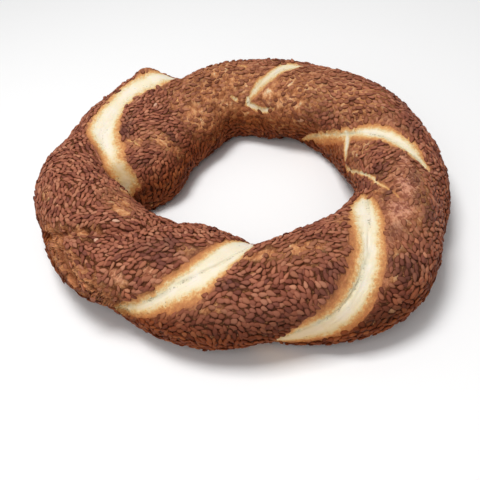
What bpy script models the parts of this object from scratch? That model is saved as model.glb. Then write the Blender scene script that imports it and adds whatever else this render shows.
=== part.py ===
"""Simit: a ring of bread made of two ropes of dough, twisted round each other three times and closed.

The baked ring is one solid. The two ropes have fused, and what is left of them is their round backs
and the two seams between them, which wind round the ring. Where the ring was closed, its ends lie side
by side. The underside is flat, as the oven floor left it. The origin is the centre of the footprint,
on the surface that the ring stands on.
"""

import math

import bpy

MM = 0.001

# Driving dimensions, in millimetres.
STATIONS = (  # angle round the ring, then the bread's middle from the ring's centre, half width, half height
    (0, 56.5, 18.5, 17.5),
    (30, 55.5, 18.5, 18.5),
    (60, 56.5, 19.5, 18.0),
    (90, 58.5, 17.5, 16.5),
    (120, 60.5, 17.5, 16.5),
    (150, 61.5, 18.0, 16.5),
    (180, 65.0, 20.5, 15.5),
    (210, 62.0, 19.5, 16.0),
    (240, 59.0, 22.5, 16.5),
    (270, 62.5, 20.5, 16.5),
    (300, 66.5, 22.5, 16.5),
    (330, 61.0, 19.5, 16.5),
)
BASE_DEPTH = 13.3  # from the bread's middle down to the flat underside
BASE_EDGE = 1.6  # how softly the sides turn into the flat
TWISTS = 3

# Each seam: (angle round the ring, angle round the bread, depth of the groove as a share of the radius).
# Round the bread, 0 is the outer side, 90 the top, 180 the side of the hole and 270 the base. The angle
# runs on from one twist to the next.
SEAM_A = (
    (-22, 51, 0.14), (-8, 92, 0.14), (2, 122, 0.15), (14, 150, 0.16), (36, 182, 0.16), (51, 209, 0.16),
    (85, 312, 0.15), (111, 420, 0.20), (121, 435, 0.26), (134, 433, 0.27), (143, 438, 0.28),
    (152, 446, 0.29), (159, 458, 0.30), (167, 478, 0.33), (177, 500, 0.38), (183, 518, 0.38),
    (188, 552, 0.26), (210, 640, 0.17), (234, 724, 0.18), (242, 748, 0.18), (250, 778, 0.18),
    (257, 800, 0.18), (265, 829, 0.18), (271, 858, 0.17), (300, 980, 0.16),
)
SEAM_B = (
    (14, -76, 0.14), (45, 20, 0.10), (64, 76, 0.08), (73, 114, 0.07), (80, 144, 0.08), (112, 222, 0.12),
    (145, 285, 0.13), (172, 325, 0.13), (198, 370, 0.13), (207, 408, 0.11), (217, 438, 0.10),
    (227, 466, 0.12), (250, 590, 0.15), (276, 711, 0.16), (286, 741, 0.16), (296, 780, 0.16),
    (305, 812, 0.16), (321, 852, 0.18), (345, 920, 0.18),
)
SEAM_ROUNDING = 0.14  # how far the foot of a groove is rounded, as a share of the rope's back

# Where the ring was closed: how far its inner end is pressed into the hole, and how far its outer end
# stands out, at angles round the ring. Each swells towards a middle and over a width round the bread.
INNER_END = ((92, 0), (107, 9), (122, 12), (137, 14), (152, 16), (164, 17), (173, 15), (180, 9), (185, 0))
INNER_END_MIDDLE, INNER_END_WIDTH = 195, 170
OUTER_END = ((104, 0), (112, 0.5), (119, 9), (126, 9.5), (136, 7), (148, 4), (160, 0))
OUTER_END_MIDDLE, OUTER_END_WIDTH = 35, 150
END_HEIGHT = 0.75  # how much less an end swells upwards than outwards

# Fineness of the mesh.
SECTIONS = 144
POINTS_ON_ROPE = 16
SEAM_CROWDING = 0.5  # how much closer the points stand near the seams

CRUST = (0.235, 0.095, 0.045, 1.0)


def clear_scene():
    for leftover in list(bpy.data.objects):
        bpy.data.objects.remove(leftover)


def smooth_value(points, at):
    """The cubic curve through the points, read at one place. Each slope is that of its two neighbours."""
    i = max(k for k in range(1, len(points) - 2) if points[k][0] <= at)
    (x0, y0), (x1, y1), (x2, y2), (x3, y3) = points[i - 1 : i + 3]
    step = x2 - x1
    t = (at - x1) / step
    slope_1 = (y2 - y0) / (x2 - x0) * step
    slope_2 = (y3 - y1) / (x3 - x1) * step
    return (
        (2 * t**3 - 3 * t**2 + 1) * y1
        + (t**3 - 2 * t**2 + t) * slope_1
        + (3 * t**2 - 2 * t**3) * y2
        + (t**3 - t**2) * slope_2
    )


def round_the_ring(rows, column, degrees):
    """One column of rows that start with an angle round the ring, which closes on itself."""
    points = [(row[0] + turn, row[column]) for turn in (-360, 0, 360) for row in rows]
    return smooth_value(sorted(points), degrees)


def seam_at(seam, degrees):
    """(angle round the bread, depth share) of a seam at this angle round the ring."""
    off_even_twist = [(angle, around - TWISTS * angle) for angle, around, depth in seam]
    return TWISTS * degrees + round_the_ring(off_even_twist, 1, degrees), round_the_ring(seam, 2, degrees)


def swelling(end, middle, width, degrees, around):
    """How far one end of the closed ring stands proud here."""
    if not end[0][0] < degrees < end[-1][0]:
        return 0
    beside = (around - middle + 180) % 360 - 180
    if abs(beside) > width / 2:
        return 0
    lead_in, lead_out = (end[0][0] - 20, 0), (end[-1][0] + 20, 0)
    reach = smooth_value([lead_in, *end, lead_out], degrees)
    return max(reach, 0) * (0.5 + 0.5 * math.cos(2 * math.pi * beside / width))


def rope_back(across):
    """Height of a rope's round back: 0 at its two seams and 1 midway between them."""
    arch = math.hypot(math.sin(math.pi * across), SEAM_ROUNDING) - SEAM_ROUNDING
    return arch / (math.hypot(1, SEAM_ROUNDING) - SEAM_ROUNDING)


def rest_on_floor(height):
    """The height above the floor, which holds the underside up, with a soft turn between side and flat."""
    over = height + BASE_DEPTH
    near = max(BASE_EDGE - abs(over), 0) / BASE_EDGE
    return max(over, 0) + near * near * BASE_EDGE / 4


def surface_point(degrees, around, share):
    """The point on the bread at an angle round the ring and one round the bread. share is its radius
    there over the radius at the back of a rope."""
    middle, half_width, half_height = (round_the_ring(STATIONS, column, degrees) for column in (1, 2, 3))
    proud = swelling(INNER_END, INNER_END_MIDDLE, INNER_END_WIDTH, degrees, around)
    proud += swelling(OUTER_END, OUTER_END_MIDDLE, OUTER_END_WIDTH, degrees, around)
    reach = middle + (half_width * share + proud) * math.cos(math.radians(around))
    rise = half_height * (share + END_HEIGHT * proud / half_width) * math.sin(math.radians(around))
    angle = math.radians(degrees)
    return MM * reach * math.cos(angle), MM * reach * math.sin(angle), MM * rest_on_floor(rise)


def section(degrees):
    """The closed outline of the bread at one angle round the ring, from seam to seam over both ropes."""
    (angle_a, depth_a), (angle_b, depth_b) = seam_at(SEAM_A, degrees), seam_at(SEAM_B, degrees)
    width = (angle_b - angle_a) % 360
    ropes = ((angle_a, width, depth_a, depth_b), (angle_a + width, 360 - width, depth_b, depth_a))
    outline = []
    for start, span, depth_here, depth_there in ropes:
        for k in range(POINTS_ON_ROPE):
            even = k / POINTS_ON_ROPE
            across = even - SEAM_CROWDING * math.sin(2 * math.pi * even) / (2 * math.pi)
            depth = depth_here + (depth_there - depth_here) * across
            share = 1 - depth * (1 - rope_back(across))
            outline.append(surface_point(degrees, start + span * across, share))
    return outline


def split_across(corners, points):
    """The four-sided patch as two triangles, cut along its shorter diagonal."""
    a, b, c, d = corners
    if math.dist(points[a], points[c]) < math.dist(points[b], points[d]):
        return [(a, b, c), (a, c, d)]
    return [(a, b, d), (b, c, d)]


def bread_mesh():
    """The ring, as a skin over its sections. The rows of points follow the twist, so each seam is an edge."""
    outlines = [section(360 * n / SECTIONS) for n in range(SECTIONS)]
    points = [point for outline in outlines for point in outline]
    centre = [(min(axis) + max(axis)) / 2 for axis in list(zip(*points))[:2]]
    points = [(x - centre[0], y - centre[1], z) for x, y, z in points]
    count = 2 * POINTS_ON_ROPE
    faces = []
    for n in range(SECTIONS):
        ahead = (n + 1) % SECTIONS
        # The last section meets the first one three whole twists later, so the same seams meet.
        for k in range(count):
            beside = (k + 1) % count
            corners = (n * count + k, ahead * count + k, ahead * count + beside, n * count + beside)
            faces += split_across(corners, points)
    mesh = bpy.data.meshes.new("simit")
    mesh.from_pydata(points, [], faces)
    mesh.shade_smooth()
    return mesh


def crust_material():
    crust = bpy.data.materials.new("sesame_crust")
    crust.use_nodes = True
    shader = crust.node_tree.nodes["Principled BSDF"]
    shader.inputs["Base Color"].default_value = CRUST
    shader.inputs["Roughness"].default_value = 0.6
    shader.inputs["Metallic"].default_value = 0.0
    return crust


def main():
    clear_scene()
    simit = bpy.data.objects.new("simit", bread_mesh())
    simit.data.materials.append(crust_material())
    bpy.context.scene.collection.objects.link(simit)


main()
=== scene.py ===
"""Simit: a twisted ring of bread in a sesame crust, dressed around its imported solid.

The dough skin, the bare strips where it opened in the oven, and every sesame seed are meshes. The solid
keeps the size and the place.
"""

import math

import bpy
from mathutils import Matrix, Vector


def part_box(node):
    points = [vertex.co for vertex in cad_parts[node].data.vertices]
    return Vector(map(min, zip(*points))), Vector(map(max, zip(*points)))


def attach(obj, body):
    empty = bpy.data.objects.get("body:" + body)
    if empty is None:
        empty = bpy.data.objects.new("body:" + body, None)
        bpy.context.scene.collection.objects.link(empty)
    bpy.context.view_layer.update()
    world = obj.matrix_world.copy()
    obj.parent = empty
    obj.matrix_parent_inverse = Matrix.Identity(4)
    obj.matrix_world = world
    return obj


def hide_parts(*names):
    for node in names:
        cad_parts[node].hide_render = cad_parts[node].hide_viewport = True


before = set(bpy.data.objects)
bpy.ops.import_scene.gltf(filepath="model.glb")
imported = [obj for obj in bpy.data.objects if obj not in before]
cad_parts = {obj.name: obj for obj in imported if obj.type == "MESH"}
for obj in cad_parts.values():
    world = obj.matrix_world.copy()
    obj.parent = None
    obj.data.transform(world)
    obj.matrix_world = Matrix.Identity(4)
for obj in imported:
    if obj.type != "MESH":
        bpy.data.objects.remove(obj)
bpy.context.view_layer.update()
MM = 0.001

# ---------------------------------------------------------------------------------------------------
# The bread. Two ropes of dough twisted round each other three times and closed into a ring, baked on a
# flat oven floor. Its skin is a lattice that follows the twist, so that each seam is a row of edges, and
# where the seams opened while it rose there are bare strips without sesame, brown only at their edges.
# ---------------------------------------------------------------------------------------------------

# Sizes in millimetres, and angles in degrees. Round the bread, 0 is the outer side, 90 the top, 180 the
# side of the hole and 270 the base.
STATIONS = (  # angle round the ring, then the bread's middle from the ring's centre, half width, half height
    (0, 56.5, 18.5, 17.5),
    (30, 55.5, 18.5, 18.5),
    (60, 56.5, 19.5, 18.0),
    (90, 58.5, 17.5, 16.5),
    (120, 60.5, 17.5, 16.5),
    (150, 61.5, 18.0, 16.5),
    (180, 65.0, 20.5, 15.5),
    (210, 62.0, 19.5, 16.0),
    (240, 59.0, 22.5, 16.5),
    (270, 62.5, 20.5, 16.5),
    (300, 66.5, 22.5, 16.5),
    (330, 61.0, 19.5, 16.5),
)
BASE_DEPTH = 13.3  # from the bread's middle down to the flat underside
BASE_EDGE = 1.6  # how softly the sides turn into the flat
TWISTS = 3
SEAM_ROUNDING = 0.14  # how far the foot of a groove is rounded, as a share of the rope's back

# Each seam: angle round the ring, angle round the bread, depth of the groove as a share of the radius.
SEAM_A = (
    (-22, 51, 0.14), (-8, 92, 0.14), (2, 122, 0.15), (14, 150, 0.16), (36, 182, 0.16), (51, 209, 0.16),
    (85, 312, 0.15), (111, 420, 0.20), (121, 435, 0.26), (134, 433, 0.27), (143, 438, 0.28),
    (152, 446, 0.29), (159, 458, 0.30), (167, 478, 0.33), (177, 500, 0.38), (183, 518, 0.38),
    (188, 552, 0.26), (210, 640, 0.17), (234, 724, 0.18), (242, 748, 0.18), (250, 778, 0.18),
    (257, 800, 0.18), (265, 829, 0.18), (271, 858, 0.17), (300, 980, 0.16),
)
SEAM_B = (
    (14, -76, 0.14), (45, 20, 0.10), (64, 76, 0.08), (73, 114, 0.07), (80, 144, 0.08), (112, 222, 0.12),
    (145, 285, 0.13), (172, 325, 0.13), (198, 370, 0.13), (207, 408, 0.11), (217, 438, 0.10),
    (227, 466, 0.12), (250, 590, 0.15), (276, 711, 0.16), (286, 741, 0.16), (296, 780, 0.16),
    (305, 812, 0.16), (321, 852, 0.18), (345, 920, 0.18),
)

# The strip along each seam that opened and stayed bare: angle round the ring, how far the pale dough
# reaches from the seam towards the outer side and towards the hole in degrees round the bread, and how
# wide the browned edge beyond it is on those two sides in millimetres. A shut seam reaches less than 0.
STRIP_A = (
    (-25, -8, -8, 0, 0), (-21, 4, 3, 0.8, 1.2), (-15, 14, 7, 1.2, 2.0), (-9, 19, 10, 1.4, 2.8),
    (0, 18, 9, 2.0, 3.4), (5, 15, 7, 2.5, 3.4), (11, 7, 7, 2.4, 3.2), (20, 4, 7, 1.4, 3.0),
    (36, 3, 8, 0.8, 2.4), (50, 1, 5, 0.6, 1.6), (60, -8, -8, 0, 0), (103, -8, -8, 0, 0),
    (109, 8, 4, 0.4, 0.5), (116, 22, 5, 0.5, 0.7), (122, 24, 4, 0.6, 0.6), (130, 25, 3.5, 0.6, 0.6),
    (140, 23, 5, 0.6, 0.8), (150, 25, 16, 0.8, 1.6), (154, 26, 20, 1.0, 1.8), (157, 25, 22, 1.4, 2.0),
    (161, 17, 23, 2.6, 2.0), (163, 10, 22, 3.4, 1.8), (165, 4, 20, 3.8, 1.6), (167, 0, 18, 3.8, 1.2),
    (170, -2, 15, 3.0, 0.8), (176, -3, 16, 2.8, 0.8), (180, -3, 19, 3.0, 1.2), (183, -5, 22, 3.8, 1.6),
    (188, -6, 20, 4.0, 2.0), (194, -8, 6, 3.6, 2.0), (199, -8, -8, 2.0, 0), (203, -8, -8, 0, 0),
    (226, -8, -8, 0, 0),
    (233, 12, 3, 1.0, 1.0), (240, 16, 4, 1.6, 2.0), (245, 17, 10, 2.2, 2.6), (250, 21, 13, 3.0, 3.2),
    (255, 24, 21, 2.6, 2.8), (260, 19, 32, 2.0, 1.8), (266, 14, 36, 1.2, 1.0), (272, 12, 28, 0.8, 0.8),
    (280, 6, 12, 0.4, 0.6), (288, -8, -8, 0, 0),
)
STRIP_B = (
    (58, -8, -8, 0, 0), (61, -4, 16, 0.8, 0.8), (64, 6, 15, 0.9, 0.9), (68, 16, 10, 1.0, 1.0),
    (70, 18, 10, 1.0, 1.0), (72, 15, 7, 1.0, 1.0), (75, 15, 3, 1.0, 1.0), (78, 20, -3, 1.1, 1.0),
    (80, 20, -4, 1.1, 1.0), (82, 15, -4, 1.0, 1.0), (85, 8, -4, 0.9, 0.9), (89, -8, -8, 0, 0),
    (262, -8, -8, 0, 0), (270, 13, 3, 0.8, 1.0), (278, 24, 7, 1.6, 2.2), (284, 26, 8, 2.6, 4.0),
    (290, 25, 7, 2.4, 5.0), (298, 18, 13, 1.9, 4.0), (305, 15, 20, 1.5, 2.1), (312, 13, 24, 1.4, 1.6),
    (317, 10, 20, 1.4, 1.4), (321, 2, 6, 2.2, 1.6), (326, -8, -8, 0, 0),
)

# Where the ring was closed: how far its inner end is pressed into the hole, and how far its outer end
# stands out, at angles round the ring. Each swells towards a middle and over a width round the bread.
INNER_END = ((92, 0), (107, 9), (122, 12), (137, 14), (152, 16), (164, 17), (173, 15), (180, 9), (185, 0))
INNER_END_MIDDLE, INNER_END_WIDTH = 195, 170
OUTER_END = ((104, 0), (112, 0.5), (119, 9), (126, 9.5), (136, 7), (148, 4), (160, 0))
OUTER_END_MIDDLE, OUTER_END_WIDTH = 35, 150
END_HEIGHT = 0.75  # how much less an end swells upwards than outwards

# Thin splits in the crust, as points (angle round the ring, angle round the bread, half width in
# millimetres).
SPLITS = (
    ((14, 147, 2.0), (9, 152, 2.6), (3, 156, 2.4), (-3, 161, 1.5), (-6, 168, 1.0), (-11, 170, 1.1)),
    ((-9, 170, 1.2), (-16, 161, 1.4), (-22, 147, 1.3), (-28, 130, 1.2), (-34, 114, 1.0), (-40, 84, 0.3)),
    ((119, 118, 0.2), (122, 130, 0.5), (124, 141, 0.3), (125, 148, 0.1)),
    ((84, 145, 1.4), (84, 156, 2.1), (80, 160, 2.2), (76, 163, 1.8), (72, 161, 1.8), (67, 158, 0.9)),
    ((93, 142, 0.8), (91, 147, 1.6), (90, 150, 0.8)),
    ((88, 86, 0.6), (86, 89, 1.0), (84, 91, 0.5)),
    ((158, 131, 0.3), (159, 138, 0.6), (160, 145, 0.4)),
)
MM_PER_DEGREE_ALONG = 1.05  # on the back of the bread, round the ring
MM_PER_DEGREE_ACROSS = 0.36  # and round the bread
SPLIT_STEPS = 12  # points along each leg of a split
SLANT = 0.7  # a strip runs at about 45 degrees, so it is narrower than its cut along a section

# Places that differ from the rest of the crust: angle round the ring, angle round the bread, the reach
# along and across in millimetres, and how strongly.
THINLY_SEEDED = (
    (78, 134, 30, 16, 0.8), (60, 140, 24, 14, 0.75), (100, 142, 20, 16, 0.8), (118, 156, 16, 10, 0.7),
    (76, 166, 30, 6, 0.6), (72, 138, 7, 6, 1.15), (91, 154, 8, 5, 1), (102, 162, 7, 7, 1), (97, 95, 7, 5, 0.8),
    (92, 118, 6, 5, 0.9), (70, 124, 6, 5, 0.9), (53, 127, 5, 4, 0.7), (41, 139, 6, 4, 0.7), (8, 118, 9, 5, 0.7),
    (0, 96, 6, 4, 0.6), (22, 186, 15, 8, 0.5), (8, 166, 8, 5, 0.6), (30, 176, 16, 6, 0.6), (354, 146, 6, 3, 0.5),
    (340, 128, 5, 3, 0.6), (318, 108, 9, 7, 0.8), (311, 80, 8, 7, 0.75), (303, 62, 6, 5, 0.7),
    (317, 70, 9, 9, 0.6), (298, 38, 7, 3, 0.7), (332, 70, 9, 8, 0.5), (284, 94, 11, 4, 0.75),
    (271, 93, 9, 3.5, 0.85), (304, 122, 7, 4, 0.8), (249, 90, 6, 3, 0.6), (256, 36, 10, 4, 0.6),
    (244, 16, 7, 3, 0.6), (205, 127, 10, 4, 0.8), (212, 116, 8, 4, 0.7), (203, 28, 9, 4, 0.8), (197, 10, 8, 6, 0.8),
    (212, 60, 8, 2.5, 0.6), (240, 58, 3.5, 2.5, 1), (232, 46, 3.5, 2.5, 0.9), (234, 40, 3, 3, 0.7),
    (159, 140, 5, 4, 1), (150, 160, 8, 7, 0.7), (124, 135, 7, 5, 0.6), (189, 54, 4, 4, 0.7), (120, 47, 5, 1.8, 1),
    (196, 148, 7, 5, 0.9), (204, 132, 7, 4, 0.8), (213, 114, 7, 4, 0.8), (202, 36, 6, 2.4, 0.9), (207, 50, 6, 2.0, 0.8),
    (211, 64, 6, 1.8, 0.7), (215, 77, 6, 1.8, 0.6), (347, 100, 6, 4, 0.6), (346, 155, 7, 5, 0.5),
    (338, 86, 8, 5, 0.7), (326, 82, 9, 6, 1), (316, 78, 8, 6, 1), (306, 70, 6, 5, 0.8), (2, 88, 8, 5, 0.5),
)
# Where the seeds lie apart, and where the crust between them is a smooth rosy skin.
SPACED_OUT = (
    (95, 112, 36, 28, 1), (60, 108, 36, 28, 1), (26, 104, 26, 18, 1), (70, 165, 46, 12, 1), (110, 165, 24, 10, 1),
    (326, 84, 17, 13, 1), (306, 70, 10, 8, 0.8), (353, 135, 12, 9, 1), (346, 158, 10, 7, 0.9), (150, 158, 9, 8, 0.8),
    (0, 88, 12, 8, 0.9), (212, 22, 16, 8, 1), (226, 14, 12, 8, 1), (210, 118, 10, 7, 0.8),
)
SMOOTH_SKIN = (
    (338, 86, 8, 6, 0.9), (328, 82, 9, 7, 1), (318, 79, 9, 7, 1), (308, 72, 8, 6, 0.8), (0, 84, 12, 8, 0.6),
    (45, 84, 24, 10, 0.5), (72, 88, 24, 8, 0.5), (240, 58, 6, 5, 0.6), (232, 46, 6, 4, 0.6),
)
DARKLY_BAKED = (
    (151, 117, 6, 3, 1), (155, 125, 4, 3, 0.9), (143, 108, 5, 3, 0.7), (143, 160, 3, 3, 0.9),
    (170, 156, 3, 3, 0.8), (359, 62, 6, 3, 0.7), (332, 113, 6, 4, 1), (320, 98, 4, 3, 0.8), (320, 50, 5, 3, 0.9),
    (304, 36, 5, 5, 0.9), (292, 6, 12, 5, 0.9), (288, 64, 4, 3, 0.8), (285, 48, 4, 2.5, 0.8),
    (263, 60, 5, 3, 0.8), (242, 92, 4, 3, 0.8), (251, 90, 5, 3, 0.6), (30, 143, 5, 2, 0.5), (88, 130, 4, 3, 0.4),
    (107, 110, 6, 3, 0.5), (270, 20, 30, 9, 0.5), (20, 50, 22, 6, 0.5), (75, 55, 20, 4, 0.5),
    (239, 80, 10, 6, 0.5), (309, 72, 4, 3, 0.6), (301, 54, 4, 3, 0.7), (331, 74, 5, 3, 0.7), (324, 66, 4, 3, 0.6),
)
LIGHTLY_BAKED = (
    (95, 120, 34, 22, 0.8), (60, 120, 36, 22, 0.8), (70, 165, 40, 12, 0.8), (105, 165, 24, 10, 0.8),
    (20, 120, 26, 14, 0.6), (325, 80, 20, 14, 0.5), (300, 75, 14, 12, 0.4), (212, 10, 14, 10, 0.9),
    (206, 122, 14, 8, 0.9), (280, 92, 12, 8, 0.5), (150, 160, 12, 10, 0.5), (228, 20, 10, 5, 0.7),
    (91, 154, 9, 7, 1), (315, 66, 12, 12, 0.6), (200, 30, 10, 5, 0.8), (354, 140, 12, 8, 0.8), (344, 158, 10, 8, 0.7),
    (0, 90, 12, 8, 0.6),
)
# Pale dough that the other rope covered, where no seeds lie; its colour is darkened there as painted shade of the
# pocket under that rope.
COVERED_SHADED = ((178, 150, 9, 12, 1), (190, 188, 9, 9, 1), (176, 186, 8, 6, 1), (72, 112, 22, 16, 0.25), (76, 160, 14, 8, 0.2))
# Where the crust's edge stands up as a flap, in the same terms.
FLAPS = ((121, 47, 5, 2.0, 1), (160, 140, 4, 1.2, 0.5))
# Where the skin of the dough tore into flakes that run aslant along the ring.
FLAKED = (
    (203, 32, 6, 4, 0.8), (208, 32, 8, 7, 1), (215, 26, 9, 7, 1), (222, 18, 9, 7, 1), (228, 8, 8, 7, 1),
    (231, -4, 8, 6, 0.8), (223, 32, 8, 4, 0.7),
)
# Where a shut seam is still a deep fold.
FOLDED = ((198, 12, 8, 8, 1), (206, 40, 10, 8, 1), (214, 68, 10, 8, 1), (222, 92, 10, 8, 0.8), (230, 112, 8, 8, 0.5))

SECTIONS = 560
POINTS_ROUND = 176
SEAM_CROWDING = 0.5  # how much closer the points stand near the seams


def smooth_value(points, at):
    """The cubic curve through the points, read at one place. Each slope is that of its two neighbours."""
    i = max(k for k in range(1, len(points) - 2) if points[k][0] <= at)
    (x0, y0), (x1, y1), (x2, y2), (x3, y3) = points[i - 1 : i + 3]
    step = x2 - x1
    t = (at - x1) / step
    slope_1 = (y2 - y0) / (x2 - x0) * step
    slope_2 = (y3 - y1) / (x3 - x1) * step
    return (
        (2 * t**3 - 3 * t**2 + 1) * y1
        + (t**3 - 2 * t**2 + t) * slope_1
        + (3 * t**2 - 2 * t**3) * y2
        + (t**3 - t**2) * slope_2
    )


def round_the_ring(rows, column, degrees):
    """One column of rows that start with an angle round the ring, which closes on itself."""
    points = [(row[0] + turn, row[column]) for turn in (-360, 0, 360) for row in rows]
    return smooth_value(sorted(points), degrees)


def straight_round_the_ring(rows, column, degrees):
    """The same with straight steps between the rows, so that nothing swings past them."""
    points = sorted((row[0] + turn, row[column]) for turn in (-360, 0, 360) for row in rows)
    after = next(k for k, point in enumerate(points) if point[0] > degrees)
    (x1, y1), (x2, y2) = points[after - 1 : after + 1]
    return y1 + (y2 - y1) * (degrees - x1) / (x2 - x1)


def seam_angle(seam, degrees):
    off_even_twist = [(row[0], row[1] - TWISTS * row[0]) for row in seam]
    return TWISTS * degrees + round_the_ring(off_even_twist, 1, degrees)


def end_reach(end, degrees):
    if not end[0][0] < degrees < end[-1][0]:
        return 0
    return max(smooth_value([(end[0][0] - 20, 0), *end, (end[-1][0] + 20, 0)], degrees), 0)


def ring_guide():
    """One point for each section of the bread, which carries the sizes of that section."""
    columns = {name: [] for name in (
        "middle", "half_width", "half_height", "seam_a", "span_a", "depth_a", "depth_b", "inner_end",
        "outer_end", "a_out", "a_in", "a_edge_out", "a_edge_in", "b_out", "b_in", "b_edge_out", "b_edge_in",
    )}
    for n in range(SECTIONS):
        degrees = 360 * n / SECTIONS
        seam_a = seam_angle(SEAM_A, degrees)
        row = [round_the_ring(STATIONS, column, degrees) for column in (1, 2, 3)]
        row += [seam_a % 360, (seam_angle(SEAM_B, degrees) - seam_a) % 360]
        row += [round_the_ring(seam, 2, degrees) for seam in (SEAM_A, SEAM_B)]
        row += [end_reach(end, degrees) for end in (INNER_END, OUTER_END)]
        row += [straight_round_the_ring(STRIP_A, column, degrees) for column in (1, 2, 3, 4)]
        row += [straight_round_the_ring(STRIP_B, column, degrees) for column in (1, 2, 3, 4)]
        for name, value in zip(columns, row):
            columns[name].append(value)
    mesh = bpy.data.meshes.new("ring_guide")
    mesh.vertices.add(SECTIONS)
    for name, values in columns.items():
        mesh.attributes.new(name, "FLOAT", "POINT").data.foreach_set("value", values)
    return mesh


def split_lines():
    """The splits drawn on a flat map of the crust, in millimetres along the ring and round the bread."""
    points = []
    for line in SPLITS:
        for (along, across, width), (next_along, next_across, next_width) in zip(line, line[1:]):
            for k in range(SPLIT_STEPS + 1):
                t = k / SPLIT_STEPS
                on_map = (along + (next_along - along) * t) * MM_PER_DEGREE_ALONG
                up_map = (across + (next_across - across) * t) * MM_PER_DEGREE_ACROSS
                points.append((on_map, up_map, width + (next_width - width) * t))
    mesh = bpy.data.meshes.new("split_lines")
    mesh.from_pydata([(x, y, 0) for x, y, width in points], [], [])
    widths = mesh.attributes.new("half_width", "FLOAT", "POINT")
    widths.data.foreach_set("value", [width for x, y, width in points])
    return mesh


class Value:
    """A number or a vector that a node tree works out. A sum with it adds the nodes for that sum."""

    def __init__(self, tree, socket):
        self.tree = tree
        self.socket = socket

    def __add__(self, other):
        return self.tree.sum("ADD", self, other)

    def __sub__(self, other):
        return self.tree.sum("SUBTRACT", self, other)

    def __rsub__(self, other):
        return self.tree.sum("SUBTRACT", other, self)

    def __mul__(self, other):
        return self.tree.sum("MULTIPLY", self, other)

    def __truediv__(self, other):
        return self.tree.sum("DIVIDE", self, other)

    def __rtruediv__(self, other):
        return self.tree.sum("DIVIDE", other, self)

    def __neg__(self):
        return self.tree.sum("MULTIPLY", self, -1)

    __radd__ = __add__
    __rmul__ = __mul__


class Tree:
    """A tree of nodes, for geometry or for a material, that is filled in by plain calls."""

    def __init__(self, node_tree):
        self.nodes = node_tree.nodes
        self.links = node_tree.links
        self.interface = node_tree.interface

    def feed(self, node, name, value):
        sockets = [s for s in node.inputs if s.name == name and s.enabled] if isinstance(name, str) else node.inputs
        socket = sockets[0 if isinstance(name, str) else name]
        if isinstance(value, Value):
            self.links.new(value.socket, socket)
        else:
            socket.default_value = value

    def add(self, kind, fed=None, out=None, **settings):
        """A new node. fed are its inputs by name or place, and out is the name of the output to use."""
        node = self.nodes.new(kind)
        for name, setting in settings.items():
            setattr(node, name, setting)
        for name, value in (fed or {}).items():
            self.feed(node, name, value)
        made = [s for s in node.outputs if s.enabled and out in (None, s.name)]
        return Value(self, made[0]) if made else node

    def sum(self, operation, *values):
        vectors = [v for v in values if isinstance(v, Value) and v.socket.type == "VECTOR"]
        if not vectors:
            return self.add("ShaderNodeMath", dict(enumerate(values)), operation=operation)
        if operation == "MULTIPLY" and not hasattr(values[1], "__len__") and values[1] not in vectors:
            return self.add("ShaderNodeVectorMath", {0: values[0], "Scale": values[1]}, operation="SCALE")
        return self.add("ShaderNodeVectorMath", dict(enumerate(values)), operation=operation)

    def sin(self, degrees):
        return self.sum("SINE", degrees * math.radians(1))

    def cos(self, degrees):
        return self.sum("COSINE", degrees * math.radians(1))

    def most(self, *values):
        largest = values[0]
        for value in values[1:]:
            largest = self.sum("MAXIMUM", largest, value)
        return largest

    def rise(self, value, start, end):
        """0 before start, 1 after end, and a soft climb between them."""
        climb = {"Value": value, "From Min": start, "From Max": end}
        return self.add("ShaderNodeMapRange", climb, interpolation_type="SMOOTHSTEP")

    def vector(self, x, y, z):
        return self.add("ShaderNodeCombineXYZ", {0: x, 1: y, 2: z})

    def part(self, vector, axis):
        return self.add("ShaderNodeSeparateXYZ", {0: vector}, out=axis)

    def noise(self, at, size, detail=2, roughness=0.5, seed=0):
        """Cloudy noise around 0.5. size is the length of its largest lumps, in the units of at."""
        moved = at + (17.3 * seed, 5.1 * seed, -9.7 * seed) if seed else at
        fed = {"Vector": moved, "Scale": 1 / size, "Detail": detail, "Roughness": roughness}
        return self.add("ShaderNodeTexNoise", fed)

    def mix(self, share, first, second):
        return self.add("ShaderNodeMix", {"Factor": share, "A": first, "B": second}, data_type="FLOAT")


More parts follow.
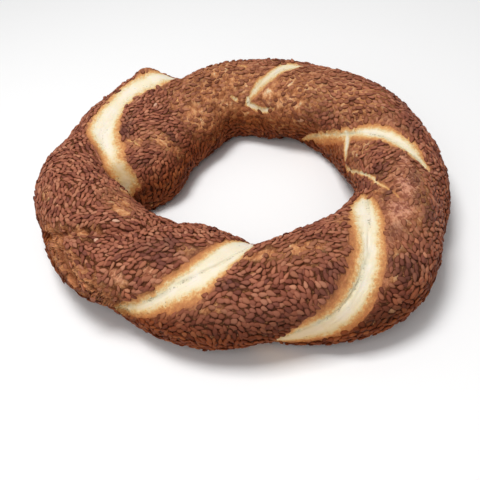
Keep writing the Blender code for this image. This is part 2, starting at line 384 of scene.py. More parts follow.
class GeometryTree(Tree):
    """A modifier's tree, with its named inputs and the geometry that it hands out."""

    def __init__(self, name):
        self.group = bpy.data.node_groups.new(name, "GeometryNodeTree")
        super().__init__(self.group)
        self.interface.new_socket("Geometry", in_out="OUTPUT", socket_type="NodeSocketGeometry")
        self.interface.new_socket("Geometry", in_out="INPUT", socket_type="NodeSocketGeometry")
        self.way_in = self.nodes.new("NodeGroupInput")
        self.settings = {}

    def geometry(self):
        return Value(self, self.way_in.outputs["Geometry"])

    def ask(self, name, kind, value):
        """A named input of the modifier, with the value that it is given."""
        socket = self.interface.new_socket(name, in_out="INPUT", socket_type="NodeSocket" + kind)
        self.settings[socket.identifier] = value
        return Value(self, next(s for s in self.way_in.outputs if s.identifier == socket.identifier))

    def read(self, name, kind="FLOAT"):
        return self.add("GeometryNodeInputNamedAttribute", {"Name": name}, data_type=kind)

    def store(self, geometry, name, value, kind="FLOAT"):
        fed = {"Geometry": geometry, "Name": name, "Value": value}
        return self.add("GeometryNodeStoreNamedAttribute", fed, data_type=kind, domain="POINT")

    def hand_out(self, geometry):
        way_out = self.nodes.new("NodeGroupOutput")
        self.links.new(geometry.socket, way_out.inputs["Geometry"])

    def make_mesh(self, carrier, name):
        """Runs the tree on a carrier object and gives its result as a plain mesh object of that name."""
        modifier = carrier.modifiers.new(name, "NODES")
        modifier.node_group = self.group
        for identifier, value in self.settings.items():
            modifier[identifier] = value
        evaluated = carrier.evaluated_get(bpy.context.evaluated_depsgraph_get())
        mesh = bpy.data.meshes.new_from_object(evaluated)
        carrier.modifiers.remove(modifier)
        mesh.name = name
        made = bpy.data.objects.new(name, mesh)
        bpy.context.scene.collection.objects.link(made)
        return made


def helper_object(mesh):
    """Something that a tree reads, which isn't part of the object and is taken away at the end."""
    helper = bpy.data.objects.new(mesh.name, mesh)
    bpy.context.scene.collection.objects.link(helper)
    return helper


def place_group():
    """A group of nodes for one place on the crust: 1 in its middle and 0 beyond its reach."""
    group = bpy.data.node_groups.new("place_on_crust", "GeometryNodeTree")
    tree = Tree(group)
    for name in ("Along", "Across", "Ring angle", "Bread angle", "Reach along", "Reach across", "Strength"):
        tree.interface.new_socket(name, in_out="INPUT", socket_type="NodeSocketFloat")
    tree.interface.new_socket("Share", in_out="OUTPUT", socket_type="NodeSocketFloat")
    sockets = tree.nodes.new("NodeGroupInput").outputs
    along, across, ring_angle, bread_angle, reach_along, reach_across, strength = (
        Value(tree, socket) for socket in list(sockets)[:7]
    )
    off_along = tree.sum("WRAP", along - ring_angle, 180, -180) * MM_PER_DEGREE_ALONG / reach_along
    off_across = tree.sum("WRAP", across - bread_angle, 180, -180) * MM_PER_DEGREE_ACROSS / reach_across
    distance = tree.sum("SQRT", off_along * off_along + off_across * off_across)
    share = tree.rise(distance, 1.25, 0.3) * strength
    tree.links.new(share.socket, tree.nodes.new("NodeGroupOutput").inputs["Share"])
    return group


def near_any(tree, group, places, along, across):
    """The share of whichever place is felt most here."""
    return tree.most(*(
        tree.add("GeometryNodeGroup", dict(enumerate((along, across, *place))), node_tree=group)
        for place in places
    ))


def bread_tree(splits):
    tree = GeometryTree("bread_skin")
    one_place = place_group()
    guide = tree.geometry()
    sections = tree.ask("Sections", "Int", SECTIONS)
    points_round = tree.ask("Points round", "Int", POINTS_ROUND)
    base_depth = tree.ask("Base depth", "Float", BASE_DEPTH)
    base_edge = tree.ask("Base edge", "Float", BASE_EDGE)
    rounding = tree.ask("Seam rounding", "Float", SEAM_ROUNDING)
    crowding = tree.ask("Seam crowding", "Float", SEAM_CROWDING)
    crust_step = tree.ask("Crust thickness", "Float", 0.3)
    lump_height = tree.ask("Lump height", "Float", 1.5)
    crease_depth = tree.ask("Crease depth", "Float", 0.4)
    flap_height = tree.ask("Flap height", "Float", 1.7)
    fold_depth = tree.ask("Fold depth", "Float", 2.6)
    base_seeds = tree.ask("Seeds under the base", "Float", 0.45)
    corner = tree.ask("Lowest corner", "Vector", Vector(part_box("simit")[0]) / MM)
    split_object = tree.ask("Splits", "Object", splits)

    # A lattice of one row for each section. Its last row and column fall on the first ones.
    fed = {"Size X": sections, "Size Y": points_round, "Vertices X": sections + 1, "Vertices Y": points_round + 1}
    lattice = tree.add("GeometryNodeMeshGrid", fed)
    at = tree.add("GeometryNodeInputPosition")
    row = tree.sum("FLOORED_MODULO", tree.part(at, "X") + sections / 2 + 0.01, sections)
    row = tree.sum("FLOOR", row)
    column = tree.sum("FLOORED_MODULO", tree.part(at, "Y") + points_round / 2 + 0.01, points_round)
    column = tree.sum("FLOOR", column)

    def size(name):
        value = tree.add("GeometryNodeInputNamedAttribute", {"Name": name}, data_type="FLOAT")
        fed = {"Geometry": guide, "Value": value, "Index": row}
        return tree.add("GeometryNodeSampleIndex", fed, data_type="FLOAT")

    # Round each section, from seam to seam over both ropes.
    ring_angle = row * 360 / sections
    on_rope = tree.sum("FLOORED_MODULO", column, points_round / 2)
    second = tree.sum("GREATER_THAN", column, points_round / 2 - 0.5)
    even = on_rope / (points_round / 2)
    rope_place = even - crowding * tree.sin(even * 360) / (2 * math.pi)
    span_a, depth_a, depth_b = size("span_a"), size("depth_a"), size("depth_b")
    seam_a = size("seam_a")
    first_angle = seam_a + span_a * rope_place
    second_angle = seam_a + span_a + (360 - span_a) * rope_place
    bread_angle = tree.mix(second, first_angle, second_angle)
    depth = tree.mix(second, tree.mix(rope_place, depth_a, depth_b), tree.mix(rope_place, depth_b, depth_a))
    arch = tree.sin(rope_place * 180)
    back = tree.sum("SQRT", arch * arch + rounding * rounding) - rounding
    full = tree.sum("SQRT", rounding * rounding + 1) - rounding
    share = 1 - depth * (1 - back / full)

    # The ends of the closed ring swell the bread on one side.
    def swelling(name, middle, width):
        beside = tree.sum("WRAP", bread_angle - middle, 180, -180)
        beside = tree.sum("MINIMUM", tree.sum("ABSOLUTE", beside), width / 2)
        return size(name) * (0.5 + 0.5 * tree.cos(beside * (360 / width)))

    proud = swelling("inner_end", INNER_END_MIDDLE, INNER_END_WIDTH)
    proud = proud + swelling("outer_end", OUTER_END_MIDDLE, OUTER_END_WIDTH)
    half_width, half_height = size("half_width"), size("half_height")
    reach = size("middle") + (half_width * share + proud) * tree.cos(bread_angle)
    climb = half_height * (share + END_HEIGHT * proud / half_width) * tree.sin(bread_angle)
    over = climb + base_depth
    near = tree.most(base_edge - tree.sum("ABSOLUTE", over), 0) / base_edge
    height = tree.most(over, 0) + near * near * base_edge / 4
    place = tree.vector(reach * tree.cos(ring_angle), reach * tree.sin(ring_angle), height)

    # For each strip: millimetres in from the edge of the crust, those in from the edge of the pale dough,
    # and those from the seam. The first two are less than nothing outside.
    def strip(off_seam, letter):
        across = off_seam * MM_PER_DEGREE_ACROSS * SLANT
        inward = size(letter + "_in") * MM_PER_DEGREE_ACROSS * SLANT - across
        outward = size(letter + "_out") * MM_PER_DEGREE_ACROSS * SLANT + across
        bare_in, bare_out = inward + size(letter + "_edge_in"), outward + size(letter + "_edge_out")
        return tree.sum("MINIMUM", bare_in, bare_out), tree.sum("MINIMUM", inward, outward), across

    off_a = tree.sum("WRAP", bread_angle - seam_a, 180, -180)
    off_b = tree.sum("WRAP", bread_angle - seam_a - span_a, 180, -180)
    bare_a, pale_a, across_a = strip(off_a, "a")
    bare_b, pale_b, across_b = strip(off_b, "b")
    beside_a = tree.sum("LESS_THAN", tree.sum("ABSOLUTE", across_a), tree.sum("ABSOLUTE", across_b))
    along_map = tree.sum("WRAP", ring_angle, 180, -180) * MM_PER_DEGREE_ALONG
    across_map = tree.sum("FLOORED_MODULO", bread_angle, 360) * MM_PER_DEGREE_ACROSS
    map_place = tree.vector(along_map, across_map, 0)
    lines = tree.add("GeometryNodeObjectInfo", {"Object": split_object}, out="Geometry")
    fed = {"Geometry": lines, "Sample Position": map_place}
    off_split = tree.add("GeometryNodeProximity", fed, out="Distance", target_element="POINTS")
    nearest = tree.add("GeometryNodeSampleNearest", fed, domain="POINT")
    fed = {"Geometry": lines, "Value": tree.read("half_width"), "Index": nearest}
    half_width = tree.add("GeometryNodeSampleIndex", fed, data_type="FLOAT")
    in_split = half_width + 1.6 * (tree.noise(map_place, 3, 3, seed=1) - 0.5) - off_split
    waver = 1.5 * (tree.noise(place, 7, 2, seed=16) - 0.5) + 1.8 * (tree.noise(place, 2.4, 2, seed=17) - 0.5)
    frayed = 2.4 * (tree.noise(place, 1.6, 3, 0.6, seed=26) - 0.5)
    bare = tree.most(tree.most(bare_a, bare_b) + waver, in_split) + frayed
    covered = near_any(tree, one_place, COVERED_SHADED, ring_angle, bread_angle)
    pale = tree.most(tree.most(pale_a, pale_b) + 0.6 * waver, 2.2 * in_split - 1.0) + 0.8 * frayed + covered

    skin = tree.store(lattice, "bare", bare)
    skin = tree.store(skin, "pale", pale)
    skin = tree.store(skin, "across", tree.mix(beside_a, across_b, across_a))
    skin = tree.store(skin, "along", along_map)
    skin = tree.store(skin, "thin", near_any(tree, one_place, THINLY_SEEDED, ring_angle, bread_angle))
    skin = tree.store(skin, "dark", near_any(tree, one_place, DARKLY_BAKED, ring_angle, bread_angle))
    skin = tree.store(skin, "light", near_any(tree, one_place, LIGHTLY_BAKED, ring_angle, bread_angle))
    skin = tree.store(skin, "apart", near_any(tree, one_place, SPACED_OUT, ring_angle, bread_angle))
    skin = tree.store(skin, "smooth", near_any(tree, one_place, SMOOTH_SKIN, ring_angle, bread_angle))
    skin = tree.store(skin, "covered", covered)
    skin = tree.store(skin, "wrinkle", tree.noise(place, 2.4, 3, 0.6, seed=14) - 0.5)
    skin = tree.store(skin, "flap", near_any(tree, one_place, FLAPS, ring_angle, bread_angle))
    skin = tree.store(skin, "flaked", near_any(tree, one_place, FLAKED, ring_angle, bread_angle))
    aslant = tree.vector(0.12 * (along_map * 0.92 - across_map * 0.4), along_map * 0.4 + across_map * 0.92, 0)
    flake = tree.rise(tree.noise(aslant, 1.8, 3, 0.6, seed=24), 0.44, 0.58) * tree.read("flaked")
    skin = tree.store(skin, "flake", flake)
    beside_seam = tree.sum("MINIMUM", tree.sum("ABSOLUTE", across_a), tree.sum("ABSOLUTE", across_b))
    fold = near_any(tree, one_place, FOLDED, ring_angle, bread_angle) * tree.rise(beside_seam, 3.4, 0.2)
    skin = tree.store(skin, "fold", fold)
    direction = tree.vector(-tree.sin(ring_angle), tree.cos(ring_angle), 0)
    skin = tree.store(skin, "ring_direction", direction, "FLOAT_VECTOR")
    skin = tree.add("GeometryNodeSetPosition", {"Geometry": skin, "Position": place})
    skin = tree.add("GeometryNodeMergeByDistance", {"Geometry": skin, "Distance": 0.02})
    fed = {"Geometry": skin, "Attribute": at}
    lowest = tree.add("GeometryNodeAttributeStatistic", fed, out="Min", data_type="FLOAT_VECTOR")
    skin = tree.add("GeometryNodeSetPosition", {"Geometry": skin, "Offset": corner - lowest})

    # Unevenness: lumps from kneading, the crust's own thickness with its curled lip, the crease along
    # the middle of a strip, and stretch marks in the bare dough.
    bare, across, along = tree.read("bare"), tree.read("across"), tree.read("along")
    lumps = tree.noise(at, 16, 2, seed=2) - 0.5 + 0.45 * (tree.noise(at, 6, 2, seed=3) - 0.5)
    crusted = tree.rise(bare, 0.9, -1.2)
    lip = tree.rise(bare, 0.4, -0.8) * tree.rise(bare, -3.2, -1.2)
    crease = tree.rise(tree.sum("ABSOLUTE", across + 0.8 * (tree.noise(at, 5, 2, seed=4) - 0.5)), 0.8, 0.1)
    crease = crease * (1 - 0.85 * tree.rise(along, 105, 118)) * tree.rise(bare, 0.2, 1.6) * tree.rise(tree.noise(at, 6, 2, seed=5), 0.35, 0.6)
    marks = tree.noise(tree.vector(along * 0.35, across * 1.6, 0), 1.4, 3, seed=6) - 0.5
    bump = lump_height * lumps + crust_step * (crusted - 0.6) + 0.1 * lip
    bump = bump - crease_depth * crease + 0.5 * marks * (1 - crusted)
    puckered = 0.7 + 1.3 * tree.most(tree.read("thin"), tree.read("apart"))
    bump = bump + crusted * (puckered * tree.read("wrinkle") + flap_height * tree.read("flap"))
    bump = bump + 2.4 * (tree.read("flake") - 0.4 * tree.read("flaked")) - fold_depth * tree.read("fold")
    normal = tree.add("GeometryNodeInputNormal")
    skin = tree.add("GeometryNodeSetPosition", {"Geometry": skin, "Offset": normal * bump})
    lifted = tree.vector(tree.part(at, "X"), tree.part(at, "Y"), tree.most(tree.part(at, "Z"), base_seeds))
    skin = tree.add("GeometryNodeSetPosition", {"Geometry": skin, "Position": lifted * MM})
    skin = tree.add("GeometryNodeSetShadeSmooth", {"Geometry": skin})
    skin = tree.add("GeometryNodeRealizeInstances", {"Geometry": skin})
    dough = tree.ask("Dough", "Material", dough_material())
    tree.hand_out(tree.add("GeometryNodeSetMaterial", {"Geometry": skin, "Material": dough}))
    return tree


def colour_between(tree, at, stops):
    """The colour at a number between 0 and 1, from stops of a place and a red, green and blue each."""
    node = tree.nodes.new("ShaderNodeValToRGB")
    while len(node.color_ramp.elements) < len(stops):
        node.color_ramp.elements.new(1)
    for element, (place, colour) in zip(node.color_ramp.elements, stops):
        element.position = place
        element.color = (*colour, 1)
    tree.feed(node, "Fac", at)
    return Value(tree, node.outputs["Color"])


def tint(tree, share, first, second, blend="MIX"):
    fed = {"Factor": share, "A": first, "B": second}
    return tree.add("ShaderNodeMix", fed, data_type="RGBA", blend_type=blend)


def new_material(name):
    material = bpy.data.materials.new(name)
    material.use_nodes = True
    return material, Tree(material.node_tree), material.node_tree.nodes["Principled BSDF"]


def dough_material():
    """Baked dough: deep brown under the seeds, golden where they are thin, cream to ivory where bare."""
    material, tree, shader = new_material("baked_dough")
    place = tree.add("ShaderNodeTexCoord", out="Object") * (1 / MM)

    def skin(name):
        return tree.add("ShaderNodeAttribute", out="Fac", attribute_name=name)

    bare, across, along, thin = skin("bare"), skin("across"), skin("along"), skin("thin")
    streaks = tree.noise(tree.vector(along * 0.3, across * 1.5, 0), 2, 4, 0.6, seed=7)
    ragged = skin("pale") + 3.0 * (tree.noise(place, 3.5, 5, 0.7) - 0.5) + 1.0 * (streaks - 0.5)
    flecks = tree.noise(place, 1.0, 3, 0.65, seed=30) - 0.5
    ragged = ragged + 4.5 * flecks * tree.rise(ragged, 2.4, 0.4)
    baked = colour_between(tree, tree.add("ShaderNodeMapRange", {"Value": ragged, "From Min": -4, "From Max": 4}), (
        (0.0, (0.38, 0.135, 0.055)),
        (0.20, (0.49, 0.190, 0.074)),
        (0.36, (0.61, 0.265, 0.098)),
        (0.48, (0.71, 0.37, 0.145)),
        (0.57, (0.79, 0.52, 0.24)),
        (0.66, (0.84, 0.67, 0.39)),
        (0.78, (0.86, 0.77, 0.58)),
        (1.0, (0.87, 0.79, 0.66)),
    ))
    clouds = tree.rise(tree.noise(place, 6, 3, seed=18), 0.45, 0.62)
    baked = tint(tree, clouds * tree.rise(ragged, 0, 1.4) * 0.4, baked, (0.83, 0.72, 0.46, 1))
    # Darker and browner towards the base: partly the deeper bake on the oven floor, partly painted shade of the low
    # sides as if they sat in shadow.
    low = tree.rise(tree.part(place, "Z"), 24, 10)
    baked = tint(tree, low * 0.7, baked, (0.88, 0.67, 0.42, 1), "MULTIPLY")
    # Painted shade: the pale dough under the other rope is darkened as if it lay in that rope's shadow.
    baked = tint(tree, skin("covered") * 0.9, baked, (0.60, 0.47, 0.32, 1), "MULTIPLY")
    mottle = tree.noise(place, 1.3, 4, 0.6, seed=13)
    relief = 0.6 * mottle + 0.4 * streaks * tree.rise(bare, -0.6, 0.4)
    goldenness = tree.rise(thin + 0.9 * (tree.noise(place, 5, 4, 0.65, seed=8) - 0.5), 0.2, 0.75)
    goldenness = tree.most(goldenness, 0.75 * skin("light"), 0.85 * skin("apart"), skin("flaked"))
    under_seeds = tint(tree, tree.noise(place, 2.5, 3, seed=9), (0.045, 0.011, 0.003, 1), (0.15, 0.043, 0.013, 1))
    # Mottled tone plus painted light tied to the relief: lighter on the wrinkles' peaks as a painted highlight, darker
    # in their hollows as painted shade.
    tone_and_relief_shading = 0.5 + 1.0 * (mottle - 0.5) + 2.0 * skin("wrinkle") + 0.6 * (tree.noise(place, 5, 3, seed=10) - 0.5)
    golden = colour_between(tree, tone_and_relief_shading + 0.45 * tree.rise(thin, 0.95, 1.25), (
        (0.1, (0.17, 0.046, 0.017)),
        (0.42, (0.46, 0.170, 0.068)),
        (0.70, (0.73, 0.345, 0.155)),
        (0.88, (0.82, 0.50, 0.27)),
        (1.0, (0.86, 0.66, 0.42)),
    ))
    rosy = tint(tree, tree.rise(tone_and_relief_shading + 0.9 * (mottle - 0.5), 0.25, 0.8), (0.27, 0.083, 0.050, 1), (0.68, 0.31, 0.20, 1))
    golden = tint(tree, skin("smooth"), golden, rosy)
    crust = tint(tree, goldenness, under_seeds, golden)
    beside_strip = tree.rise(bare + 1.6 * (tree.noise(place, 3, 2, seed=23) - 0.5), -3.2, -0.2)
    dull = tint(tree, tree.rise(mottle, 0.35, 0.65), (0.26, 0.086, 0.042, 1), (0.54, 0.205, 0.104, 1))
    crust = tint(tree, beside_strip * 0.9, crust, dull)
    # Painted highlight on the flakes' ridges and painted shade in their hollows, mixed with a mottled tone.
    flake = tint(tree, skin("flake") + 0.8 * skin("wrinkle") + 0.8 * (mottle - 0.5), (0.21, 0.055, 0.020, 1), (0.90, 0.38, 0.170, 1))
    crust = tint(tree, skin("flaked") * 0.85, crust, flake)
    # The crust too is darker towards the base, partly from the deeper bake and partly as painted shade of the low
    # sides.
    crust = tint(tree, low * (1 - 0.7 * skin("flaked")), crust, (0.66, 0.42, 0.20, 1), "MULTIPLY")
    crust = tint(tree, skin("dark") * 0.6, crust, (0.06, 0.022, 0.014, 1))
    colour = tint(tree, tree.rise(bare + 0.7 * (streaks - 0.5), -0.5, 0.3), crust, baked)
    toasted = tree.rise(tree.noise(place, 1.1, 4, 0.7, seed=15), 0.52, 0.66) * tree.rise(ragged, 3, -1)
    colour = tint(tree, toasted * 0.6, colour, (0.46, 0.20, 0.075, 1))
    off_crease = tree.sum("ABSOLUTE", across + 0.6 * (tree.noise(place, 5, 2, seed=4) - 0.5))
    uncreased = tree.rise(along, 105, 118)
    greyish = (1 - 0.8 * uncreased) * tree.rise(off_crease, 1.5, 0.2) * tree.rise(tree.noise(place, 7, 3, seed=27), 0.36, 0.6)
    colour = tint(tree, greyish * tree.rise(ragged, 0.6, 2) * 0.5, colour, (0.60, 0.55, 0.38, 1))
    near_crease = tree.rise(off_crease, 0.9 + 1.5 * uncreased, 0.1) * (1 - 0.5 * uncreased)
    dotted = near_crease * tree.rise(tree.noise(place, 0.9, 3, 0.7, seed=19), 0.5, 0.68)
    dotted = dotted * tree.rise(tree.noise(place, 9, 2, seed=22), 0.40, 0.58) * tree.rise(ragged, 0.4, 1.6)
    colour = tint(tree, dotted * 0.8, colour, (0.20, 0.165, 0.10, 1))
    speck_cell = tree.add("ShaderNodeTexVoronoi", {"Vector": place, "Scale": 1.0})
    specks = tree.rise(speck_cell, 0.24, 0.13) * tree.rise(tree.noise(place, 2.2, 2, seed=11) + 0.04 * uncreased, 0.62, 0.70)
    colour = tint(tree, specks * tree.rise(bare, 0.8, 1.6) * 0.85, colour, (0.07, 0.055, 0.04, 1))
    shader.inputs["Roughness"].default_value = 0.62
    shader.inputs["Subsurface Weight"].default_value = 0.1
    shader.inputs["Subsurface Radius"].default_value = (1.0, 0.5, 0.25)
    shader.inputs["Subsurface Scale"].default_value = 0.001
    shader.inputs["Specular IOR Level"].default_value = 0.12
    tree.feed(shader, "Base Color", colour)
    tree.feed(shader, "Roughness", 0.6 + 0.2 * (tree.noise(place, 1.5, 2, seed=12) - 0.5))
    roughened = relief * (0.5 + 1.05 * tree.rise(bare, 0.3, -0.3) + 0.6 * tree.rise(ragged, 2.4, 0.4) + skin("flaked"))
    bump = tree.add("ShaderNodeBump", {"Height": roughened, "Strength": 0.8, "Distance": 0.0009})
    tree.feed(shader, "Normal", bump)
    return material


guide_object = helper_object(ring_guide())
splits_object = helper_object(split_lines())
bread = bread_tree(splits_object).make_mesh(guide_object, "bread")
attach(bread, "root")
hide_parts("simit")

# ---------------------------------------------------------------------------------------------------
# The sesame. Whole seeds 3 mm long that stuck to the syrup on the dough, packed flat and side by side
# with a few lying on the others, toasted from gold to nearly black. Each seed is a flat drop of mesh.
# ---------------------------------------------------------------------------------------------------

SEED_LENGTH, SEED_WIDTH, SEED_THICKNESS = 3.0, 1.85, 0.8
SEED_SEGMENTS, SEED_RINGS = 6, 5
SEED_SPACING = 1.55
WIDE_SPACING = 2.2
LOOSE_SPACING = 7.0
# Name, share of the seeds from and to, and the tones from dark to light.
TOASTS = (
    ("toasted_sesame", 0.0, 0.27, ((0.28, 0.088, 0.046), (0.52, 0.195, 0.110))),
    ("brown_sesame", 0.27, 0.54, ((0.22, 0.066, 0.036), (0.44, 0.155, 0.088))),
    ("dark_sesame", 0.54, 0.76, ((0.13, 0.037, 0.023), (0.32, 0.100, 0.058))),
    ("light_sesame", 0.76, 1.0, ((0.34, 0.120, 0.064), (0.64, 0.285, 0.165))),
)


def sesame_tree(name, share_from, share_to, material):
    tree = GeometryTree(name)
    bread_skin = tree.geometry()
    length = tree.ask("Seed length", "Float", SEED_LENGTH)
    width = tree.ask("Seed width", "Float", SEED_WIDTH)
    thickness = tree.ask("Seed thickness", "Float", SEED_THICKNESS)
    spacing = tree.ask("Spacing", "Float", SEED_SPACING * MM)
    wide_spacing = tree.ask("Spacing where they lie apart", "Float", WIDE_SPACING * MM)
    loose_spacing = tree.ask("Spacing of loose seeds", "Float", LOOSE_SPACING * MM)
    lowest_share = tree.ask("Share from", "Float", share_from)
    highest_share = tree.ask("Share to", "Float", share_to)

    # One seed: a ball drawn out to a drop along X, and flattened.
    ball = tree.add("GeometryNodeMeshUVSphere", {"Segments": SEED_SEGMENTS, "Rings": SEED_RINGS, "Radius": 1})
    at = tree.add("GeometryNodeInputPosition")
    lengthwise = tree.part(at, "Z")
    taper = 1 - 0.42 * lengthwise - 0.14 * lengthwise * lengthwise
    place = tree.vector(
        lengthwise * length * (0.5 * MM),
        tree.part(at, "X") * taper * width * (0.5 * MM),
        tree.part(at, "Y") * (1 - 0.25 * lengthwise) * thickness * (0.5 * MM),
    )
    seed = tree.store(ball, "rim", 1 - tree.sum("ABSOLUTE", tree.part(at, "Y")))
    seed = tree.add("GeometryNodeSetPosition", {"Geometry": seed, "Position": place})
    seed = tree.add("GeometryNodeSetShadeSmooth", {"Geometry": seed})

    def scatter(closest, density, lift, tip, number):
        """Seeds on the crust no closer than that. lift is how far out they lie, tip how far they tip."""
        fed = {"Mesh": bread_skin, "Distance Min": closest, "Density Max": 3e6, "Density Factor": density, "Seed": number}
        node = tree.add("GeometryNodeDistributePointsOnFaces", fed, distribute_method="POISSON")
        normal = Value(tree, node.socket.node.outputs["Normal"])
        points = tree.store(node, "skin_normal", normal, "FLOAT_VECTOR")
        normal = tree.read("skin_normal", "FLOAT_VECTOR")
        here = at * (1 / MM)

        def chance(low, high, draw):
            fed = {"Min": low, "Max": high, "Seed": draw + 10 * number}
            return tree.add("FunctionNodeRandomValue", fed, data_type="FLOAT")

        fed = {"Primary Axis": normal, "Secondary Axis": tree.read("ring_direction", "FLOAT_VECTOR")}
        lie = tree.add("FunctionNodeAxesToRotation", fed, primary_axis="Z", secondary_axis="X")
        swirl = (tree.noise(here, 22, 2, seed=20) - 0.5) * 8 * (1 - 0.8 * tree.read("light"))
        swirl = swirl + chance(-0.65, 0.65, 1)
        flip = tree.sum("ROUND", chance(0, 1, 6)) * math.pi
        turn = tree.vector(chance(-tip, tip, 2), chance(-tip, tip, 3), swirl + flip)
        turn = tree.add("FunctionNodeEulerToRotation", {"Euler": turn})
        fed = {"Rotation": lie, "Rotate By": turn}
        lie = tree.add("FunctionNodeRotateRotation", fed, rotation_space="LOCAL")
        scale = tree.vector(chance(0.78, 1.2, 4), chance(0.74, 1.15, 5), chance(0.8, 1.2, 7))
        sunk = 0.25 * tree.read("thin")
        raised = normal * ((lift + chance(-0.22, 0.25, 8) - sunk) * MM)
        points = tree.add("GeometryNodeSetPosition", {"Geometry": points, "Offset": raised})
        kind = chance(0, 1, 9)
        points = tree.store(points, "kind", kind)
        points = tree.store(points, "tone", chance(0, 1, 0))
        kept = tree.sum("MULTIPLY", tree.sum("GREATER_THAN", kind, lowest_share), tree.sum("LESS_THAN", kind, highest_share + 1e-6))
        fed = {"Points": points, "Selection": kept, "Instance": seed, "Rotation": lie, "Scale": scale}
        return tree.add("GeometryNodeInstanceOnPoints", fed)

    here = at * (1 / MM)
    crusted = tree.rise(tree.read("bare") + 1.5 * tree.read("covered") + 3.6 * (tree.noise(here, 3.4, 3, seed=21) - 0.5), 0.7, -0.7)
    sparse = tree.rise(tree.read("thin") + 0.9 * (tree.noise(here, 5, 4, 0.65, seed=8) - 0.5), 0.2, 0.95)
    upright = tree.part(tree.add("GeometryNodeInputNormal"), "Z")
    airy = tree.rise(tree.read("apart") + 0.5 * (tree.noise(here, 7, 3, 0.6, seed=28) - 0.5), 0.3, 0.6)
    density = crusted * (1 - 0.85 * tree.most(sparse, 0.85 * tree.read("flaked"))) * tree.rise(upright, -0.95, -0.5)
    laid = scatter(spacing, density * (1 - airy), 0.08, 0.2, 1)
    bald = tree.rise(tree.read("thin") + 0.7 * (tree.noise(here, 5, 4, 0.65, seed=8) - 0.5), 0.6, 1.1)
    apart = scatter(wide_spacing, crusted * airy * (1 - 0.8 * tree.most(bald, 0.8 * tree.read("flaked"))), 0.05, 0.15, 3)
    loose = scatter(loose_spacing, crusted * (1 - sparse), 0.36, 0.25, 2)
    joined = tree.add("GeometryNodeJoinGeometry", {"Geometry": laid})
    for more in (apart, loose):
        tree.links.new(more.socket, joined.socket.node.inputs["Geometry"])
    seeds = tree.add("GeometryNodeRealizeInstances", {"Geometry": joined})
    lifted = tree.vector(tree.part(at, "X"), tree.part(at, "Y"), tree.most(tree.part(at, "Z"), 0.0))
    seeds = tree.add("GeometryNodeSetPosition", {"Geometry": seeds, "Position": lifted})
    toast = tree.ask("Toast", "Material", material)
    tree.hand_out(tree.add("GeometryNodeSetMaterial", {"Geometry": seeds, "Material": toast}))
    return tree


def sesame_material(name, dark_tone, light_tone):
    """A toasted seed hull: matt with a faint gloss, each seed its own tone, darker on baked places."""
    material, tree, shader = new_material(name)
    place = tree.add("ShaderNodeTexCoord", out="Object") * (1 / MM)

    def seed_value(attribute):
        return tree.add("ShaderNodeAttribute", out="Fac", attribute_name=attribute)

    tone = seed_value("tone")
    second_tone = tree.sum("FRACT", tone * 17.3)
    mottled = tone * 0.6 + 0.9 * (tree.noise(place, 11, 4, 0.6) - 0.5) + 0.2
    colour = tint(tree, mottled, (*dark_tone, 1), (*light_tone, 1))
    colour = tint(tree, second_tone * 0.3, colour, (0.27, 0.105, 0.080, 1))
    honey = tint(tree, mottled, (0.13, 0.040, 0.019, 1), (0.54, 0.225, 0.110, 1))
    colour = tint(tree, 0.8 * tree.most(seed_value("light"), seed_value("thin")), colour, honey)
    colour = tint(tree, seed_value("dark") * (0.5 + 0.5 * tone), colour, (0.11, 0.040, 0.032, 1))
    if name == "light_sesame":
        colour = tint(tree, tree.rise(tone, 0.988, 0.992) * 0.5, colour, (0.78, 0.54, 0.40, 1))
    rim = seed_value("rim")
    # Darker round each seed's edge: partly toast, partly painted shade where the seed meets the crust.
    colour = tint(tree, rim * rim * 0.7, colour, (0.48, 0.26, 0.16, 1), "MULTIPLY")
    # Seeds darker towards the base: partly the deeper bake there, partly painted shade of the low sides as if they sat
    # in shadow.
    low = tree.rise(tree.part(place, "Z"), 25, 12) * (1 - 0.7 * seed_value("flaked"))
    colour = tint(tree, low, colour, (0.60, 0.40, 0.20, 1), "MULTIPLY")
    tree.feed(shader, "Base Color", colour)
    shader.inputs["Specular IOR Level"].default_value = 0.07
    tree.feed(shader, "Roughness", 0.45 + 0.2 * tree.noise(place, 1, 2))
    relief = tree.add("ShaderNodeBump", {"Height": tree.noise(place, 0.5, 3), "Strength": 0.35, "Distance": 0.0002})
    tree.feed(shader, "Normal", relief)
    return material


for name, share_from, share_to, (dark_tone, light_tone) in TOASTS:
    material = sesame_material(name, dark_tone, light_tone)
    seeds = sesame_tree(name, share_from, share_to, material).make_mesh(bread, name)
    print(name, len(seeds.data.vertices), sum(len(p.vertices) - 2 for p in seeds.data.polygons))
    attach(seeds, "root")

print("bread", len(bread.data.vertices), sum(len(p.vertices) - 2 for p in bread.data.polygons))
for helper in (guide_object, splits_object):
    bpy.data.objects.remove(helper)

# ---------------------------------------------------------------------------------------------------
# The table, the lights and the camera. A pale floor, one wide soft light overhead from the far side and
# a weak one from the front. The camera looks down on the ring from the front.
# ---------------------------------------------------------------------------------------------------

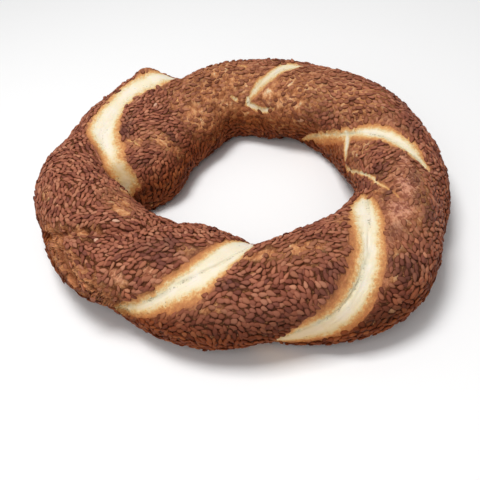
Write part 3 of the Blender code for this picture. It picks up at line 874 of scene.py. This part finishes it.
floor_mesh = bpy.data.meshes.new("floor")
FLOOR_HALF = 2.0
floor_mesh.from_pydata(
    [(x * FLOOR_HALF, y * FLOOR_HALF, 0) for x, y in ((-1, -1), (1, -1), (1, 1), (-1, 1))], [], [(0, 1, 2, 3)]
)
floor = bpy.data.objects.new("floor", floor_mesh)
bpy.context.scene.collection.objects.link(floor)
pale, pale_tree, pale_shader = new_material("pale_floor")
pale_shader.inputs["Base Color"].default_value = (0.97, 0.97, 0.97, 1)
pale_shader.inputs["Roughness"].default_value = 0.7
floor_mesh.materials.append(pale)

ring_centre = Vector(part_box("simit")[0])
ring_centre = Vector((0.0041, 0.0036, BASE_DEPTH * MM))


def soft_light(name, place, side, power):
    lamp = bpy.data.lights.new(name, "AREA")
    lamp.shape = "SQUARE"
    lamp.size = side
    lamp.energy = power
    light = bpy.data.objects.new(name, lamp)
    light.location = place
    light.rotation_euler = (ring_centre - Vector(place)).to_track_quat("-Z", "Y").to_euler()
    bpy.context.scene.collection.objects.link(light)


soft_light("overhead", (-0.1, 0.0, 0.62), 0.26, 2.8)
soft_light("front", (-0.2, -0.5, 0.5), 0.5, 0.9)

sky = bpy.data.worlds.new("studio")
sky.use_nodes = True
sky.node_tree.nodes["Background"].inputs["Color"].default_value = (1, 1, 1, 1)
sky.node_tree.nodes["Background"].inputs["Strength"].default_value = 0.33
bpy.context.scene.world = sky
bpy.context.scene.view_settings.view_transform = "Standard"

CAMERA_DISTANCE = 0.27018
CAMERA_HEIGHT_ANGLE = math.radians(37.567)
camera_data = bpy.data.cameras.new("camera")
camera_data.lens = 50.71
camera_data.sensor_width = 36
camera = bpy.data.objects.new("camera", camera_data)
back = Vector((0, -math.cos(CAMERA_HEIGHT_ANGLE), math.sin(CAMERA_HEIGHT_ANGLE)))
looking = Matrix.Rotation(math.pi / 2 - CAMERA_HEIGHT_ANGLE, 4, "X")
looking = looking @ Matrix.Rotation(math.radians(1.165), 4, "Y")
looking = looking @ Matrix.Rotation(math.radians(-5.271), 4, "X")
looking = looking @ Matrix.Rotation(math.radians(-6.75), 4, "Z")
camera.matrix_world = Matrix.Translation(ring_centre + back * CAMERA_DISTANCE) @ looking
bpy.context.scene.collection.objects.link(camera)
bpy.context.scene.camera = camera
